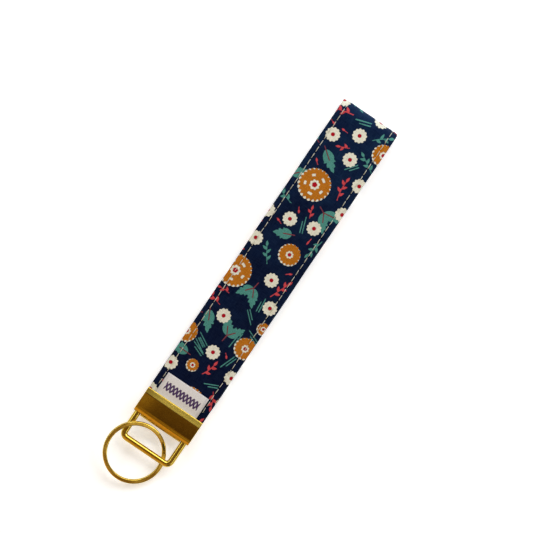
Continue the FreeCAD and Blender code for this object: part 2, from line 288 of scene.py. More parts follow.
def relief(x, q, height):
    """How far the cloth stands proud of its plain section, in mm, at a place across and a distance along.

    The channel is a dip exp(-(d/w)^2) about the seam. The pucker is a wave with the stitches' pitch, and
    dies away from the seam. Broad slack and finer creases are random waves. All of it fades into the clamp,
    and past the lips the outside puffs out.
    """
    from_seam = np.abs(np.abs(x) - seam_x)
    dip = np.exp(-((from_seam / channel_width) ** 2))
    hole = 0.5 + 0.5 * np.cos(2 * math.pi * q / stitch_pitch)
    channel = -channel_depth * dip * (0.75 + 0.45 * hole)
    slanted = q + 0.25 * (np.abs(x) - seam_x)
    pucker = -0.09 * np.exp(-from_seam / 1.1) * (1 - dip) * np.cos(2 * math.pi * slanted / stitch_pitch)
    crown = 0.07 * (1 - np.clip(np.abs(x) / seam_x, 0, 1) ** 2)
    rim = 0.05 * np.exp(-(((np.abs(x) - seam_x - 1.2) / 0.6) ** 2))
    loose = 0.05 * slack(x, q) + 0.035 * creases(x, q)
    puff = 0.30 * ease(q, 0.1, 3.2) * (1 - ease(q, 5.0, 16.0)) * (height > 0)
    start = np.where(height < 0, 9.0, 0.2)
    free = ease(q, start, 2 * start + 4.0) * ease(along[-1] - q, start, 2 * start + 4.0)
    return ((channel + pucker + crown + rim + loose) * free + puff) * np.abs(height)


def make_band(rows, columns, inset=0.0, with_relief=True):
    """Points, faces and cloth coordinates of the strap as a closed tube, on rows of stations and a section.

    Each point is middle + outward * (height * half thickness + relief), with x set across.
    """
    mid, out, half, q = rows
    x, height, round_it = columns
    xx, qq = np.meshgrid(x, q)
    hh = np.broadcast_to(height, xx.shape)
    rise = hh * half[:, None]
    if with_relief:
        roll = 1 - 0.16 * ease(np.abs(xx), half_width - 2.0, half_width - edge_roll) * np.abs(hh)
        rise = rise * roll + np.sign(hh) * relief(xx, qq, hh)
        crease = 0.35 * np.exp(-((hh / 0.22) ** 2)) * (xx < 0)
        wander = 0.09 * slack(xx * 0 + 40, qq) * ease(qq, 0.5, 8.0)
        xx = xx * (half_width - inset) / half_width + crease + wander
    else:
        xx = xx * (half_width - inset) / half_width
    yy = mid[:, :1] + out[:, :1] * rise
    zz = np.maximum(mid[:, 1:] + out[:, 1:] * rise, 0.0)
    points = np.stack([xx, yy, zz], -1).reshape(-1, 3)
    n_rows, n_columns = len(q), len(x)
    centres = np.array([points[:n_columns].mean(0), points[-n_columns:].mean(0)])
    quads = grid_faces(n_rows, n_columns)
    first = fan(np.arange(n_columns)[::-1], len(points))
    last = fan(np.arange(n_columns) + (n_rows - 1) * n_columns, len(points) + 1)
    triangles = np.concatenate([first, last])
    r, c = np.meshgrid(np.arange(n_rows - 1), np.arange(n_columns), indexing="ij")
    u = np.stack([round_it[c], round_it[c + 1], round_it[c + 1], round_it[c]], -1)
    v = np.stack([q[r], q[r], q[r + 1], q[r + 1]], -1)
    uv_quads = np.stack([u, v], -1).reshape(-1, 4, 2)
    place = np.stack([np.tile(round_it[:-1], n_rows), np.repeat(q, n_columns)], -1)
    place = np.vstack([place, [[0, q[0]], [0, q[-1]]]])
    uv_triangles = place[triangles]
    return np.vstack([points, centres]), quads, triangles, [uv_quads, uv_triangles], place


# %% [markdown]
# ## The print
#
# The cotton is a small floral print on navy: cream daisies with red eyes, mustard blooms with a cream
# rim, toothed green leaves with red veins, and sprigs. Each motif is a function that is negative inside
# its outline and grows with the distance outside it. The smallest value of all the motifs of one dye is
# stored on the cloth's points, and the finish paints that dye where it is below zero. The edges stay
# sharp between points, and the motifs run on round the edges and the fold.
#
# A motif's place is (across, along), in mm, from the middle of the strap and from the clamp's lips.

# %% Motif outlines
class Cloth:
    """The print being laid on: places across and along, and one field of outlines for each dye."""

    def __init__(self, across_mm, along_mm):
        self.p, self.q = across_mm, along_mm
        dyes = ("leaf", "coral", "vein", "mustard", "cream", "red")
        self.dyes = {dye: np.full(len(across_mm), 4.0) for dye in dyes}

    def near(self, x, y, reach):
        """Numbers of the points within reach of a place."""
        return np.flatnonzero((np.abs(self.p - x) < reach) & (np.abs(self.q - y) < reach))

    def lay(self, dye, chosen, outline):
        self.dyes[dye][chosen] = np.minimum(self.dyes[dye][chosen], outline)

    def clear(self, dye, chosen, outline):
        """Keeps a dye out of an outline that is laid over it."""
        self.dyes[dye][chosen] = np.maximum(self.dyes[dye][chosen], -outline)


def scalloped(cloth, chosen, x, y, wide, tall, lobes, depth, turn=0.0):
    """Round outline with lobes and notches: its radius is 1 - depth + depth |cos(lobes * angle / 2)|."""
    dx, dy = (cloth.p[chosen] - x) / wide, (cloth.q[chosen] - y) / tall
    angle = np.arctan2(dy, dx) + turn
    edge = 1 - depth + depth * np.abs(np.cos(lobes * angle / 2))
    return (np.hypot(dx, dy) - edge) * min(wide, tall)


def line_to(cloth, chosen, a, b, width):
    """Rounded line: distance to the stretch from a to b, less half its width."""
    px, py = cloth.p[chosen] - a[0], cloth.q[chosen] - a[1]
    bx, by = b[0] - a[0], b[1] - a[1]
    t = np.clip((px * bx + py * by) / (bx * bx + by * by), 0, 1)
    return np.hypot(px - bx * t, py - by * t) - width / 2


def leaf_from(cloth, chosen, a, b, width, teeth=0):
    """Leaf from a foot a to a tip b, width * sin(pi t^0.7) wide, with saw teeth past its widest place."""
    length = math.hypot(b[0] - a[0], b[1] - a[1])
    ux, uy = (b[0] - a[0]) / length, (b[1] - a[1]) / length
    px, py = cloth.p[chosen] - a[0], cloth.q[chosen] - a[1]
    t = (px * ux + py * uy) / length
    side = px * uy - py * ux
    inside = np.clip(t, 0, 1)
    half = width / 2 * np.sin(math.pi * inside ** 0.7)
    if teeth:
        saw = (teeth * inside + 0.4 * (side > 0)) % 1.0
        half = half * (1 + 0.7 * (saw - 0.6) * ease(inside, 0.42, 0.5)) + 0.1 * ease(inside, 0.55, 0.65)
    return np.maximum(np.maximum(np.abs(side) - half, -t * length), (t - 1) * length)


def arc_of(cloth, chosen, x, y, radius, width, start, end):
    """Part of a ring round (x, y), between two angles in degrees."""
    dx, dy = cloth.p[chosen] - x, cloth.q[chosen] - y
    rho = np.hypot(dx, dy)
    mid, half = math.radians((start + end) / 2), math.radians((end - start) / 2)
    turn = np.abs((np.arctan2(dy, dx) - mid + math.pi) % (2 * math.pi) - math.pi)
    return np.maximum(np.abs(rho - radius) - width / 2, (turn - half) * rho)


# %% [markdown]
# Each motif is put together from those outlines. It starts at a foot (x, y), runs a length along a
# heading and keeps within half a width of that line, so all are called in one way.

# %% Motifs
stem_width = 0.42           # veins, stalks and twigs
wide_bloom = 5.5            # half width past which a bloom has strokes round its eye


def toward(x, y, heading, reach):
    """The place at a distance from (x, y) along a heading."""
    return x + reach * math.cos(heading), y + reach * math.sin(heading)


def daisy(cloth, x, y, heading, length, half):
    """Cream petals round a red eye."""
    chosen = cloth.near(x, y, half + 1.5)
    petals = scalloped(cloth, chosen, x, y, half, half, 12, 0.17, heading)
    eye = scalloped(cloth, chosen, x, y, 0.27 * half, 0.27 * half, 6, 0.06)
    for dye in ("leaf", "coral", "vein", "mustard"):
        cloth.clear(dye, chosen, petals)
    cloth.lay("cream", chosen, petals)
    cloth.clear("cream", chosen, eye)
    cloth.lay("red", chosen, eye)


def bloom(cloth, x, y, heading, length, half):
    """Mustard petals in a cream rim that shows most on one side. A wide bloom has a ring of strokes."""
    chosen = cloth.near(x, y, half + 1.5)
    lobes = int(2.6 * half + 6)
    half_lobe = math.pi / lobes
    rim = scalloped(cloth, chosen, x - 0.08, y - 0.14, half, half, lobes, 0.05)
    petals = scalloped(cloth, chosen, x + 0.04, y + 0.12, half - 0.14, half - 0.10, lobes, 0.13, half_lobe)
    eye_size = 0.5 + 0.25 * half
    strokes = [scalloped(cloth, chosen, x, y, eye_size, eye_size, 8, 0.25, heading)]
    if half > wide_bloom:
        for k in range(5):
            start = math.degrees(heading) + 72 * k
            end = start + 22 + 6 * (k % 2)
            strokes.append(arc_of(cloth, chosen, x, y, 0.58 * half, 1.0, start, end))
    for dye in ("leaf", "coral", "vein"):
        cloth.clear(dye, chosen, rim)
    cloth.lay("cream", chosen, np.maximum(rim, -petals))
    cloth.lay("mustard", chosen, petals)
    for stroke in strokes:
        cloth.clear("mustard", chosen, stroke)
        cloth.lay("cream", chosen, stroke)
    red = scalloped(cloth, chosen, x, y, 0.5 * eye_size, 0.5 * eye_size, 5, 0.2, heading)
    cloth.clear("cream", chosen, red)
    cloth.lay("red", chosen, red)


def leaf(cloth, x, y, heading, length, half, stalk=0.14):
    """Toothed leaf with a red vein, which runs out past its foot as a stalk, a share of its length."""
    chosen = cloth.near(*toward(x, y, heading, length / 2), length / 2 + 2.5)
    tip = toward(x, y, heading, length)
    cloth.lay("leaf", chosen, leaf_from(cloth, chosen, (x, y), tip, 0.4 + 2.1 * half, teeth=5))
    vein_start, vein_end = toward(x, y, heading, -stalk * length), toward(x, y, heading, 0.46 * length)
    stroke = line_to(cloth, chosen, vein_start, vein_end, stem_width)
    cloth.lay("vein", chosen, stroke)
    cloth.clear("leaf", chosen, stroke)


def leaf_pair(cloth, x, y, heading, length, half):
    """Two leaves that part from one foot, on one stalk."""
    for turn, share in ((0.62, 0.95), (-0.58, 0.85)):
        leaf(cloth, x, y, heading + turn, share * length, 0.62 * half, stalk=0.0)
    chosen = cloth.near(x, y, half + 1.5)
    stalk_end = toward(x, y, heading, -half)
    cloth.lay("vein", chosen, line_to(cloth, chosen, (x, y), stalk_end, stem_width))


def sprig(cloth, dye, x, y, heading, length, half):
    """Stem bowed by t (1 - t), with leaflets 48 degrees off it on alternate sides and one at its end."""
    leaflet = 0.8 + half
    bow = 0.22 * math.sin(5 * x + y)
    run = length - 0.8 * leaflet
    chosen = cloth.near(*toward(x, y, heading, length / 2), length / 2 + leaflet + 1.0)

    def at(t):
        return toward(*toward(x, y, heading, run * t), heading + math.pi / 2, bow * run * t * (1 - t))

    for k in range(6):
        cloth.lay(dye, chosen, line_to(cloth, chosen, at(k / 6), at((k + 1) / 6), 0.36))
    count = max(int(run / 1.7), 0)
    turns = [(0.25 + 0.75 * k / count, 0.84 if k % 2 else -0.84) for k in range(count)]
    for t, turn in turns + [(1.0, 0.0)]:
        foot = at(t)
        tip = toward(*foot, heading + turn + bow * (1 - 2 * t), leaflet)
        cloth.lay(dye, chosen, leaf_from(cloth, chosen, foot, tip, 0.46 * leaflet))


def coral_sprig(cloth, *place):
    sprig(cloth, "coral", *place)


def green_sprig(cloth, *place):
    sprig(cloth, "leaf", *place)


def twigs(cloth, x, y, heading, length, half):
    """Two straight green twigs, 1 mm apart, the second one shorter."""
    chosen = cloth.near(x, y, length + 1.5)
    for aside, share in ((-0.5, 1.0), (0.5, 0.7)):
        foot = toward(x, y, heading + math.pi / 2, aside)
        tip = toward(*foot, heading, share * length)
        cloth.lay("leaf", chosen, line_to(cloth, chosen, foot, tip, stem_width))


# %% [markdown]
# The motifs are scattered as a textile designer does it: big blooms first, then daisies between them,
# then leaves and sprigs that lean into the gaps. Each motif claims a row of round patches, and a new one
# is tried at random places until its patches are clear of all the rest. Flowers take the roomiest place
# that was tried, which spreads them out. Leaves take the tightest one, which packs them close. The print
# repeats every 150 mm along the cloth.

# %% The print's layout
repeat_along = 150.0
print_seed = 12             # any number gives a print; this one spreads the wide blooms well


class Layout:
    """Motifs placed so far, and the round patches (across, along, radius) that they take up."""

    def __init__(self, seed, low, high):
        self.rng, self.low, self.high = np.random.default_rng(seed), low, high
        self.taken = np.array([[low - 50.0, 0.0, 0.0]])
        self.motifs = []

    def option(self, length, half):
        """A random place: how clear its patches are, the patches, and what the motif needs to know."""
        x, y = self.rng.uniform((self.low, 0.0), (self.high, repeat_along))
        heading = self.rng.uniform(-math.pi, math.pi)
        grown = length * self.rng.uniform(0.85, 1.15)
        run = np.linspace(0, grown, 1 + int(grown / half))
        patches = np.column_stack([*toward(x, y, heading, run), np.full(len(run), half)])
        apart = patches[:, None, :2] - self.taken[None, :, :2]
        apart[..., 1] = (apart[..., 1] + repeat_along / 2) % repeat_along - repeat_along / 2
        both = patches[:, None, 2] + self.taken[None, :, 2]
        room = np.hypot(apart[..., 0], apart[..., 1]) - both
        return room.min(), patches, (x, y, heading, grown, half)

    def scatter(self, motif, count, length, half, choose=max, tries=80):
        """Adds up to count of one motif, each at the place that choose picks from the clear ones."""
        for _ in range(count):
            options = [self.option(length, half) for _ in range(tries)]
            clear = [option for option in options if option[0] > 0]
            if clear:
                _, patches, place = choose(clear, key=lambda option: option[0])
                self.taken = np.vstack([self.taken, patches])
                self.motifs.append((motif, place))


def lay_out(seed, low, high):
    """The whole repeat of the print, over the cloth from low to high across."""
    layout = Layout(seed, low, high)
    layout.scatter(bloom, 4, 0.0, 6.7)
    layout.scatter(bloom, 9, 0.0, 4.5)
    layout.scatter(daisy, 34, 0.0, 3.0)
    layout.scatter(bloom, 5, 0.0, 2.6)
    layout.scatter(leaf_pair, 9, 9.0, 2.8, min)
    layout.scatter(coral_sprig, 15, 9.0, 1.6, min)
    layout.scatter(green_sprig, 14, 9.4, 1.6, min)
    layout.scatter(leaf, 34, 8.8, 1.9, min)
    layout.scatter(coral_sprig, 12, 5.6, 1.3, min)
    layout.scatter(twigs, 22, 6.5, 0.5, min)
    layout.scatter(coral_sprig, 18, 2.6, 1.0, min)
    return layout.motifs


def print_fields(p, q, motifs):
    """Every dye's outline field for cloth places p across and q along."""
    cloth = Cloth(p, q)
    for step in (-repeat_along, 0.0, repeat_along):
        for motif, (x, y, *shape) in motifs:
            motif(cloth, x, y + step, *shape)
    return cloth.dyes


# %% [markdown]
# ## The printed cover
#
# The cover is one grid of stations by places round. The upper layer gets the finest rows, because it is
# what people look at.

# %% Make the cover and the fleece in it
cover_rows = (middle, outward, half_thick, along)
points, quads, triangles, uv, place = make_band(cover_rows, section(86, 40, 12))
motifs = lay_out(print_seed, place[:, 0].min(), place[:, 0].max())
print(f"{len(motifs)} motifs in each repeat of the print")
fields = print_fields(place[:, 0], place[:, 1], motifs)
side = np.abs(points[:, 0]) / half_width
# Lighter along the long edges, which is wear, and over the last 3 mm before the fold tip, which is a
# painted sheen.
fields["worn"] = ease(side, 0.965, 1.0) + 0.6 * ease(points[:, 1], fold_tip - 3.0, fold_tip)
# Painted light: the navy grows lighter towards the fold, standing in for stronger light at the far end.
fields["fade"] = 0.35 * ease(points[:, 1], 0.0, 60.0) + 0.65 * ease(points[:, 1], 70.0, fold_tip)
print_attributes = {f"print_{key}": values for key, values in fields.items()}
printed_cover = make_piece("printed_cover", points, quads, triangles, uv, print_attributes)

fleece_rows = stations(2.0, 2.0, inset=0.55)
fleece_parts = make_band(fleece_rows, section(20, 20, 8), inset=1.0, with_relief=False)
fleece = make_piece("fleece", *fleece_parts[:4])

# %% [markdown]
# ## Stitches
#
# The seams are lock stitches, 3 mm long, in cream thread. A stitch lies on the cloth, and both its ends
# dive into needle holes. One stitch is a short bowed tube with tapered ends. It is worked out once and
# copied along the seam by adding arrays, and chance makes each lie its own way.

# %% Stitches
thread_radius = 0.135
shorten = 0.98              # a stitch is this share of its pitch
stitch_rows, stitch_sides = 7, 6


def strap_frame(q, x, face):
    """Middle and outward direction of the path at a distance along, and how far out the face stands."""
    mid = np.stack([np.interp(q, along, middle[:, k]) for k in (0, 1)], -1)
    out = np.stack([np.interp(q, along, outward[:, k]) for k in (0, 1)], -1)
    out /= np.linalg.norm(out, axis=-1, keepdims=True)
    half = np.interp(q, along, half_thick)
    return mid, out, face * (half + relief(x + 0 * q, q, np.ones_like(q)))


def make_stitches(name, x, face):
    """Tubes r (cos a, sin a) about bowed lines, t * pitch along and 0.33 sin(pi t)^0.25 - 0.16 out."""
    first, last = 1.0, along[-1] - 1.0
    count = int((last - first) / stitch_pitch)
    starts = first + (np.arange(count) + 0.5) * stitch_pitch
    starts -= starts[0] % stitch_pitch
    starts = starts[starts > 0.6]
    count = len(starts)
    t = np.linspace(0, 1, stitch_rows)
    a = np.linspace(0, 2 * math.pi, stitch_sides, endpoint=False)
    slip = rng.normal(0, 0.035, (count, 1, 1))
    lean = rng.normal(0, 0.045, (count, 1, 1))
    thick = thread_radius * (0.45 + 0.55 * np.sin(math.pi * t) ** 0.35)[None, :, None]
    q = starts[:, None, None] + (0.02 + 0.96 * t[None, :, None]) * stitch_pitch * shorten + 0 * a
    q = q + (1 - shorten) * stitch_pitch / 2
    xx = x + slip + lean * (t[None, :, None] - 0.5) * 2 + thick * np.cos(a)
    lift = -0.16 + 0.33 * np.sin(math.pi * t)[None, :, None] ** 0.25 + thick * np.sin(a) + 0 * xx
    mid, out, level = strap_frame(q.ravel(), x, face)
    rise = level + face * lift.ravel()
    points = np.column_stack([xx.ravel(), mid[:, 0] + out[:, 0] * rise, mid[:, 1] + out[:, 1] * rise])
    points[:, 2] = np.maximum(points[:, 2], 0.0)
    per = stitch_rows * stitch_sides
    base = (np.arange(count) * per)[:, None, None]
    quads = (grid_faces(stitch_rows, stitch_sides)[None] + base).reshape(-1, 4)
    ends = np.stack([np.arange(stitch_sides)[::-1], np.arange(stitch_sides) + per - stitch_sides])
    fans = ends[:, [0, 1, 2, 0, 2, 3, 0, 3, 4, 0, 4, 5]].reshape(-1, 3)
    triangles = (fans[None] + base).reshape(-1, 3)
    turn = np.tile(np.arange(stitch_sides) / stitch_sides, count * stitch_rows)
    flat_uv = np.column_stack([turn, q.ravel()])
    return make_piece(name, points, quads, triangles, [flat_uv[quads], flat_uv[triangles]])


stitch_pieces = {}
for side_name, sign in (("left", -1), ("right", 1)):
    for thread_name, face in (("needle", 1), ("bobbin", -1)):
        made = make_stitches(f"{side_name}_{thread_name}_stitches", sign * seam_x, face)
        stitch_pieces[f"{side_name}_{thread_name}_thread"] = made

# %% [markdown]
# ## The woven label
#
# A length of satin ribbon is folded over, and its two ends go into the clamp with the strap. It is one
# thin sheet that runs out on the strap, turns in a tight fold and comes back over itself. Rows follow
# that path, and the selvedges are a hair thinner than the rest.

# %% The label
ply_rows, ply_columns = 60, 40


def make_label():
    """Ribbon on a path just above the strap, out to the fold, round a half circle and back over itself."""
    radius = label_ply / 2 + label_gap / 2
    y_turn = label_top - radius - label_ply / 2
    y_out = np.linspace(label_foot, y_turn, ply_rows)
    y_back = y_out[::-1]
    lower = label_gap + label_ply / 2
    upper = lower + label_ply + label_gap
    turn = np.radians(np.linspace(-90, 90, 9))[1:-1]
    y = np.concatenate([y_out, y_turn + radius * np.cos(turn), y_back])
    around = (lower + upper) / 2 + radius * np.sin(turn)
    up = np.concatenate([np.full(ply_rows, lower), around, np.full(ply_rows, upper)])
    swollen = relief(np.zeros_like(y), y - lips, np.ones_like(y)) * ease(y, lips, lips + 1.0)
    z = upper_outside(y) + up + swollen
    path = np.stack([y, z], -1)
    step = np.gradient(path, axis=0)
    normal = np.stack([step[:, 1], -step[:, 0]], -1)
    normal /= np.linalg.norm(normal, axis=1, keepdims=True)
    steps = np.linalg.norm(np.diff(path, axis=0), axis=1)
    distance = np.concatenate([[0], np.cumsum(steps)])
    x = np.linspace(-label_half_width, label_half_width, ply_columns + 1)
    half = label_ply / 2 * (1 - 0.12 * ease(np.abs(x), label_half_width - 1.4, label_half_width - 0.9))
    face_x = np.concatenate([x, x[::-1]])
    face_h = np.concatenate([half, -half[::-1]])
    raised = ease(y, lips + 0.6, label_top) * ease(np.arange(len(y)), ply_rows + 2, ply_rows + 6)
    bow = 0.05 * np.sin(2.3 * face_x / label_half_width + 0.6) * raised[:, None]
    yy = path[:, :1] - normal[:, :1] * face_h
    zz = path[:, 1:] - normal[:, 1:] * face_h + np.abs(bow)
    xx = np.broadcast_to(face_x, yy.shape) + 0.012 * np.sin(distance * 9.0)[:, None] * np.sign(face_x)
    points = np.stack([xx, yy, zz], -1).reshape(-1, 3)
    n_rows, n_columns = yy.shape
    quads = grid_faces(n_rows, n_columns)
    strip = np.arange(ply_columns)
    cap = np.stack([strip, strip + 1, n_columns - 2 - strip, n_columns - 1 - strip], -1)
    caps = np.concatenate([cap[:, ::-1], cap + (n_rows - 1) * n_columns])
    flat = np.column_stack([np.tile(face_x, n_rows), np.repeat(distance, n_columns)])
    every = np.concatenate([quads, caps])
    return make_piece("folded_label", points, every, None, [flat[every]]), distance[-1]


folded_label, ribbon_length = make_label()
print(f"label ribbon {2 * label_half_width:.1f} mm wide and {ribbon_length:.1f} mm long")

# %% [markdown]
# ## A way to write finishes
#
# A finish is a small sum of masks and waves, which reads best as arithmetic. Here a socket is wrapped so
# that `a * 2 + b` adds the Math nodes, and one method adds any other node.

# %% Shader arithmetic
class Field:
    """A number that varies over a surface. Each operator adds the Math node that does it."""

    def __init__(self, finish, socket):
        self.finish, self.socket = finish, socket

    def math(self, operation, *others):
        values = dict(enumerate((self,) + others))
        return self.finish.node("ShaderNodeMath", {"operation": operation}, values)

    def __add__(self, other):
        return self.math("ADD", other)

    def __sub__(self, other):
        return self.math("SUBTRACT", other)

    def __mul__(self, other):
        return self.math("MULTIPLY", other)

    def __truediv__(self, other):
        return self.math("DIVIDE", other)

    def __neg__(self):
        return self.math("MULTIPLY", -1.0)

    def __rsub__(self, other):
        return (-self).math("ADD", other)

    __radd__, __rmul__ = __add__, __mul__

    def sine(self):
        return self.math("SINE")

    def size(self):
        return self.math("ABSOLUTE")

    def share(self):
        """The part after the decimal point."""
        return self.math("FRACT")

    def least(self, other):
        return self.math("MINIMUM", other)

    def most(self, other):
        return self.math("MAXIMUM", other)

    def between(self, low, high, out_low=0.0, out_high=1.0):
        """Smooth step from out_low at low to out_high at high."""
        settings = {"interpolation_type": "SMOOTHSTEP"}
        values = {"Value": self, "From Min": low, "From Max": high, "To Min": out_low, "To Max": out_high}
        return self.finish.node("ShaderNodeMapRange", settings, values, "Result")


class Nodes:
    """A node tree that is written as arithmetic on fields."""

    def __init__(self, tree):
        self.tree = tree

    def node(self, kind, settings=None, values=None, output=0):
        """Adds a node, sets its settings, then its sockets by name or number, and gives one output."""
        made = self.tree.nodes.new(kind)
        for key, value in (settings or {}).items():
            setattr(made, key, value)
        for key, value in (values or {}).items():
            self.join(value, made.inputs[key])
        return Field(self, made.outputs[output])

    def join(self, value, socket):
        if isinstance(value, Field):
            self.tree.links.new(value.socket, socket)
        else:
            socket.default_value = value

    def mix(self, share, a, b):
        """Colour a where share is 0, and colour b where it is 1."""
        settings = {"data_type": "RGBA", "clamp_factor": True}
        return self.node("ShaderNodeMix", settings, {0: share, 6: a, 7: b}, 2)

    def attribute(self, name):
        return self.node("ShaderNodeAttribute", {"attribute_name": name}, None, "Fac")

    def axes(self, vector):
        """The three parts of a vector."""
        parts = self.node("ShaderNodeSeparateXYZ", None, {0: vector})
        outs = parts.socket.node.outputs
        return [Field(self, outs[k]) for k in range(3)]

    def place(self):
        return self.node("ShaderNodeTexCoord", None, None, "Object")

    def cloth(self):
        return self.node("ShaderNodeUVMap", {"uv_map": "cloth"})

    def stretched(self, vector, scale):
        return self.node("ShaderNodeVectorMath", {"operation": "MULTIPLY"}, {0: vector, 1: scale})

    def noise(self, vector, scale, detail=3.0, roughness=0.55):
        values = {"Vector": vector, "Scale": scale, "Detail": detail, "Roughness": roughness}
        return self.node("ShaderNodeTexNoise", None, values, "Fac")


class Finish(Nodes):
    """One material: its nodes, and a Principled shader whose plain sockets are set by name."""

    def __init__(self, name, **plain):
        self.material = bpy.data.materials.new(name)
        self.material.use_nodes = True
        super().__init__(self.material.node_tree)
        self.shader = self.tree.nodes["Principled BSDF"]
        for socket, value in plain.items():
            self.shader.inputs[socket.replace("_", " ")].default_value = value

    def finish(self, colour=None, roughness=None, height=None, depth=0.0, strength=1.0):
        """Joins what varies: colour, roughness, and a height in units of depth metres."""
        if colour is not None:
            self.join(colour, self.shader.inputs["Base Color"])
        if roughness is not None:
            self.join(roughness, self.shader.inputs["Roughness"])
        if height is not None:
            values = {"Strength": strength, "Distance": depth, "Height": height}
            self.join(self.node("ShaderNodeBump", None, values), self.shader.inputs["Normal"])
        return self.material


def srgb(red, green, blue):
    """Linear colour from the 0 to 255 values of a colour chart."""
    parts = np.array([red, green, blue]) / 255
    linear = np.where(parts <= 0.04045, parts / 12.92, ((parts + 0.055) / 1.055) ** 2.4)
    return (*linear.tolist(), 1.0)


# %% [markdown]
# ## Printed cotton
#
# Quilting cotton is a plain weave of fine threads, about three to the millimetre. Under the print each
# thread takes the dye a little differently, and the edge of a motif follows the threads in tiny steps.
# The weave comes from two sine waves over the cloth's own coordinates: a warp ridge and a weft ridge, and
# their product says which is on top. Each dye is laid over the last where its field is below zero, and
# its edge is let wander by the fibres.

# %% Cotton
def make_cotton():
    f = Finish("printed_cotton", Sheen_Weight=0.02, Sheen_Roughness=0.4, Specular_IOR_Level=0.03)
    cloth = f.cloth()
    u, v, _ = f.axes(cloth)
    warp = (u * (math.pi / 0.34)).sine()
    weft = (v * (math.pi / 0.30)).sine()
    over = (warp * weft).between(-0.35, 0.35)
    ridge = over * warp.size() + (1.0 - over) * weft.size()
    fibre = f.noise(f.stretched(cloth, (3.0, 3.0, 0.0)), 1.0, 4.0, 0.6)
    slub = f.noise(f.stretched(cloth, (0.35, 3.2, 0.0)), 1.0, 2.0)
    slub = slub + f.noise(f.stretched(cloth, (3.2, 0.35, 0.0)), 1.0, 2.0)
    blot = f.noise(f.stretched(cloth, (0.09, 0.09, 0.0)), 1.0, 3.0).between(0.3, 0.7)
    wobble = (fibre - 0.5) * 0.16 + (ridge - 0.5) * 0.10

    def painted(dye):
        return (f.attribute(f"print_{dye}") + wobble).between(0.07, -0.05)

    # Painted light: the navy is mixed from deep to lighter navy towards the fold, a painted lighting
    # gradient.
    deep_navy = f.mix(blot, srgb(1, 5, 34), srgb(3, 12, 45))
    faded_navy = f.mix(blot, srgb(6, 22, 54), srgb(13, 38, 70))
    base = f.mix(f.attribute("print_fade"), deep_navy, faded_navy)
    dyes = {
        "leaf": (srgb(56, 124, 117), srgb(96, 164, 154)),
        "coral": (srgb(188, 56, 66), srgb(222, 86, 88)),
        "vein": (srgb(108, 48, 58), srgb(146, 68, 72)),
        "mustard": (srgb(168, 95, 8), srgb(206, 131, 24)),
        "cream": (srgb(221, 222, 202), srgb(247, 247, 235)),
        "red": (srgb(160, 4, 22), srgb(190, 16, 34)),
    }
    for dye, (deep, light) in dyes.items():
        ink = f.mix(fibre.between(0.25, 0.75), deep, light)
        base = f.mix(painted(dye), base, ink)
    # Painted shade and highlight of the weave: near black is mixed into its hollows, and a lighter blue
    # onto its raised threads.
    weave_shade = (slub * 0.75 + ridge * 0.12 - 0.45).between(0.12, 0.62)
    base = f.mix(weave_shade * 0.42, base, f.mix(0.55, base, (0.0, 0.0, 0.01, 1)))
    base = f.mix((1.0 - weave_shade) * 0.04, base, srgb(96, 122, 160))
    # A lighter blue over the wear along the edges and over a painted sheen at the fold tip.
    worn = f.attribute("print_worn") * fibre.between(0.35, 0.7, 0.15, 0.5)
    base = f.mix(worn * 0.28, base, srgb(90, 112, 145))
    rough = fibre.between(0.2, 0.8, 0.78, 0.95)
    height = ridge * 0.6 + slub * 0.3 + fibre * 0.25
    return f.finish(base, rough, height, depth=0.00005, strength=0.7)


cotton = make_cotton()
printed_cover.data.materials.append(cotton)

# %% [markdown]
# ## Thread, fleece and ribbon
#
# Sewing thread is two or three plies twisted together, so its bump is a slanting wave round the tube. The
# ribbon is satin: long floats across the width that make it shine, with a plain woven selvedge along both
# sides. Two purple zigzags that cross are woven in, where such labels carry a mark.

# %% Thread, fleece and satin
def make_thread():
    f = Finish("sewing_thread", Sheen_Weight=0.35, Sheen_Roughness=0.4, Specular_IOR_Level=0.35)
    u, v, _ = f.axes(f.cloth())
    ply = ((u * 2.0 + v * 1.7) * (2 * math.pi)).sine()
    fuzz = f.noise(f.place(), 9000.0, 3.0)
    # The colour also follows the twist, lighter on the ply crests and darker in the grooves: painted light
    # and shade.
    colour = f.mix((ply * 0.25 + fuzz * 0.9).between(0.1, 0.9), srgb(178, 178, 160), srgb(236, 234, 218))
    rough = fuzz.between(0.3, 0.7, 0.6, 0.85)
    return f.finish(colour, rough, ply * 0.5 + fuzz * 0.4, depth=0.00006, strength=0.8)


def make_fleece():
    f = Finish("fleece", Sheen_Weight=0.5, Sheen_Roughness=0.7)
    fuzz = f.noise(f.place(), 2500.0, 5.0, 0.7)
    colour = f.mix(fuzz, srgb(206, 202, 190), srgb(240, 238, 230))
    return f.finish(colour, fuzz.between(0, 1, 0.85, 1.0), fuzz, depth=0.0001)


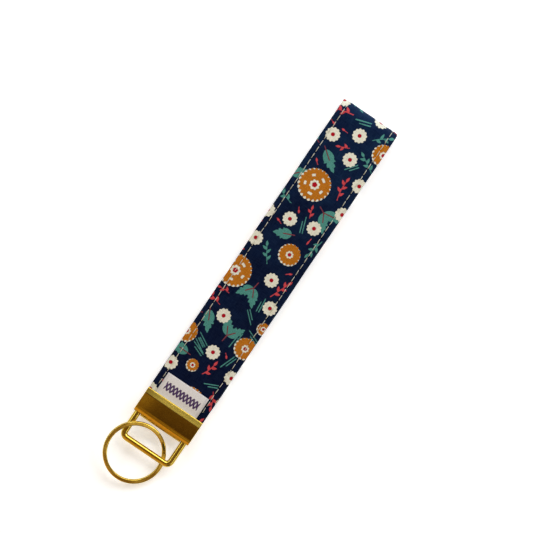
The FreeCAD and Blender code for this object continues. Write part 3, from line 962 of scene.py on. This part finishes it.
def make_satin():
    f = Finish("satin_ribbon", Sheen_Weight=0.3, Sheen_Roughness=0.3, Specular_IOR_Level=0.5)
    cloth = f.cloth()
    u, v, _ = f.axes(cloth)
    floats = f.noise(f.stretched(cloth, (1.2, 11.0, 0.0)), 1.0, 3.0)
    rows = (v * (2 * math.pi / 0.22)).sine()
    picks = (u * (2 * math.pi / 0.26)).sine()
    selvedge = u.size().between(label_half_width - 1.3, label_half_width - 1.0)
    middle_v = ribbon_length - (label_top - lips) / 2 - (lips - label_foot) + 0.2
    pitch, tall, stroke = 3.2, 1.60, 0.42
    step = u / pitch + 100.0
    zigzag = ((step.share() - 0.5).size() * 4.0 - 1.0) * tall
    up = v - middle_v
    jag = picks * 0.05 + rows * 0.06
    one = (up - zigzag).size() * 0.55
    two = (up + zigzag).size() * 0.55
    knot = ((step + 0.25).share() - 0.5).size() * pitch
    next_knot = ((step + 0.75).share() - 0.5).size() * pitch
    dot = knot.least(next_knot) + up.size()
    line = one.least(two).least(dot - 0.25) + jag
    inside = u.size().between(label_half_width - 1.75, label_half_width - 1.85)
    mark = line.between(stroke + 0.05, stroke - 0.05) * inside * up.size().between(tall + 0.3, tall + 0.2)
    ground = f.mix(floats.between(0.25, 0.75), srgb(204, 204, 208), srgb(238, 238, 240))
    ground = f.mix(selvedge * rows.between(-0.2, 0.2) * 0.35, ground, srgb(150, 148, 160))
    colour = f.mix(mark, ground, f.mix(floats, srgb(48, 26, 76), srgb(80, 54, 108)))
    rough = floats.between(0.2, 0.8, 0.34, 0.52)
    height = rows * 0.35 + picks * selvedge * 0.5 + floats * 0.5 + mark * 0.5
    return f.finish(colour, rough, height, depth=0.00004, strength=0.6)


thread = make_thread()
for piece in stitch_pieces.values():
    piece.data.materials.append(thread)
fleece.data.materials.append(make_fleece())
folded_label.data.materials.append(make_satin())

# %% [markdown]
# ## Gold plating
#
# The clamp, wire and ring are brass with a bright gold-coloured plating. Polished metal is mostly what it
# mirrors, so the finish adds hair scratches, cloudy handling marks and the shallow waves of a stamped
# sheet. The clamp's waves are broad and slow, and those of the drawn wire are hardly there.

# %% Metal
def make_gold(name, colour, dark, rough, wave, wave_scale, scratch_scale):
    """Gold tinted from colour to dark. rough is (low, high), wave in metres, and scales per metre."""
    f = Finish(name, Metallic=1.0)
    here = f.place()
    cloud = f.noise(here, wave_scale, 0.0, 0.3)
    marks = f.noise(here, 900.0, 4.0, 0.6)
    hair = f.noise(f.stretched(here, scratch_scale), 1.0, 3.0, 0.7)
    scratched = hair.between(0.66, 0.74)
    tint = f.mix(marks.between(0.4, 0.8) * 0.35 + cloud.between(0.35, 0.65) * 0.6, colour, dark)
    polish = marks.between(0.3, 0.8, rough[0], rough[1]) + scratched * 0.06
    height = cloud + marks * 0.001 - scratched * 0.001
    return f.finish(tint, polish, height, depth=wave, strength=1.0)


def dress(node, material):
    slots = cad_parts[node].data.materials
    slots.clear()
    slots.append(material)


gold, warm_gold, deep_gold = srgb(212, 184, 82), srgb(190, 156, 60), srgb(182, 136, 44)
brushed, even, fine = (250.0, 5000.0, 5000.0), (1500.0, 1500.0, 1500.0), (1800.0, 1800.0, 1800.0)
dress("clamp_body", make_gold("clamp_plating", gold, deep_gold, (0.14, 0.20), 0.0060, 34.0, brushed))
dress("wire_loop", make_gold("wire_plating", gold, warm_gold, (0.13, 0.18), 0.00008, 160.0, even))
dress("split_ring", make_gold("ring_plating", gold, warm_gold, (0.12, 0.18), 0.00016, 120.0, fine))
dress("basting_thread", thread)

# %% [markdown]
# ## Pieces in place of frame parts
#
# The strap leaves the clamp's lips stiffly and then bends. The cotton, fleece, stitches and label stand in
# for frame parts, which are hidden, and each piece's placement is baked into its mesh.

# %% Put the pieces in place of frame parts
standing_for = {"strap_cover": printed_cover, "strap_core": fleece, "label": folded_label, **stitch_pieces}
for node, piece in standing_for.items():
    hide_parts(node)
    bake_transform(piece)
print("joined:", ", ".join(p.name for p in standing_for.values()))

# %% [markdown]
# ## Floor, light and camera
#
# The keychain lies on a plain pale floor under soft light. Large panels low on every side leave the
# ceiling dim, so the flat of the clamp mirrors something dark and its edges something bright, which makes
# gold read as gold. A small panel over the right side puts a highlight on the tilted ring. The camera
# looks straight down, turned so that the strap lies on a slant.

# %% Stage
def make_floor():
    across = np.linspace(-1500.0, 1500.0, 3)
    xx, yy = np.meshgrid(across, across)
    points = np.column_stack([xx.ravel(), yy.ravel() + 70, np.full(xx.size, -0.02)])
    floor = make_piece("floor", points, grid_faces(3, 3, closed=False))
    glow = {"Emission_Color": (1, 1, 1, 1), "Emission_Strength": 0.46}
    f = Finish("pale_floor", Specular_IOR_Level=0.1, Roughness=0.9, **glow)
    grain = f.noise(f.place(), 40.0, 2.0)
    floor.data.materials.append(f.finish(f.mix(grain, (0.86, 0.90, 0.96, 1), (0.88, 0.92, 0.98, 1))))


def make_panel(name, place, target, width, height, watts, colour=(1, 1, 1)):
    """A soft rectangular light that faces its target. Places are in metres."""
    lamp = bpy.data.lights.new(name, "AREA")
    lamp.shape, lamp.size, lamp.size_y = "RECTANGLE", width, height
    lamp.energy, lamp.color = watts, colour
    panel = bpy.data.objects.new(name, lamp)
    bpy.context.scene.collection.objects.link(panel)
    panel.location = place
    back = np.array(place) - np.array(target)
    panel.rotation_euler = (math.acos(back[2] / np.linalg.norm(back)), 0, math.atan2(back[0], -back[1]))


def make_sky(overhead, glint, low, far):
    """World colour: a warm, uneven ceiling, which reaches down the near side too, and plain grey below.

    The ceiling is where z + 0.5 max(-y, 0) - 0.15 max(y, 0) of a direction is near 1, and a dark bar lies 4
    to 20 degrees past overhead.
    """
    world = bpy.data.worlds.new("studio")
    bpy.context.scene.world = world
    world.use_nodes = True
    sky = Nodes(world.node_tree)
    way = sky.node("ShaderNodeTexCoord", None, None, "Generated")
    _, y, z = sky.axes(way)
    ceiling_share = (z - y.least(0.0) * 0.5 - y.most(0.0) * 0.15).between(0.82, 0.96)
    bar = y.between(0.05, 0.10) * y.between(0.36, 0.30) * z.between(0.9, 0.94)
    ceiling = sky.mix(sky.noise(way, 7.0, 1.0).between(0.45, 0.68), overhead, glint)
    glow = sky.mix(ceiling_share, sky.mix(y.between(0.2, 0.45), low, far), ceiling)
    glow = sky.mix(bar * 0.85, glow, (0.04, 0.015, 0.005, 1))
    sky.join(glow, world.node_tree.nodes["Background"].inputs["Color"])


make_floor()
brown, amber = (0.24, 0.110, 0.020, 1), (0.50, 0.38, 0.12, 1)
make_sky(overhead=brown, glint=amber, low=(0.08, 0.08, 0.08, 1), far=(0.40, 0.39, 0.36, 1))
centre = (0.0, 0.03, 0.0)
make_panel("far_panel", (0.0, 0.57, 0.46), centre, 0.95, 0.38, 4.2)
make_panel("near_panel", (0.0, -0.59, 0.31), centre, 0.70, 0.66, 0.85, (1.0, 0.56, 0.14))
make_panel("ring_panel", (0.34, -0.12, 0.70), (0.0, -0.02, 0.0), 0.09, 0.09, 0.022)
make_panel("left_panel", (-0.60, 0.10, 0.42), centre, 0.50, 0.16, 0.9)
make_panel("right_panel", (0.62, 0.00, 0.38), centre, 0.50, 0.16, 0.7)

view_height = 1.4           # camera above the table, far enough for almost no perspective
view_width = 0.21234        # how much of the table the picture spans
lens_data = bpy.data.cameras.new("camera")
lens_data.sensor_width = 36.0
lens_data.lens = 36.0 * view_height / view_width
camera = bpy.data.objects.new("camera", lens_data)
camera.location = (-0.00105, 0.07114, view_height)
camera.rotation_euler = (0, 0, math.radians(34.1))
bpy.context.scene.collection.objects.link(camera)
bpy.context.scene.camera = camera
bpy.context.scene.view_settings.view_transform = "Standard"
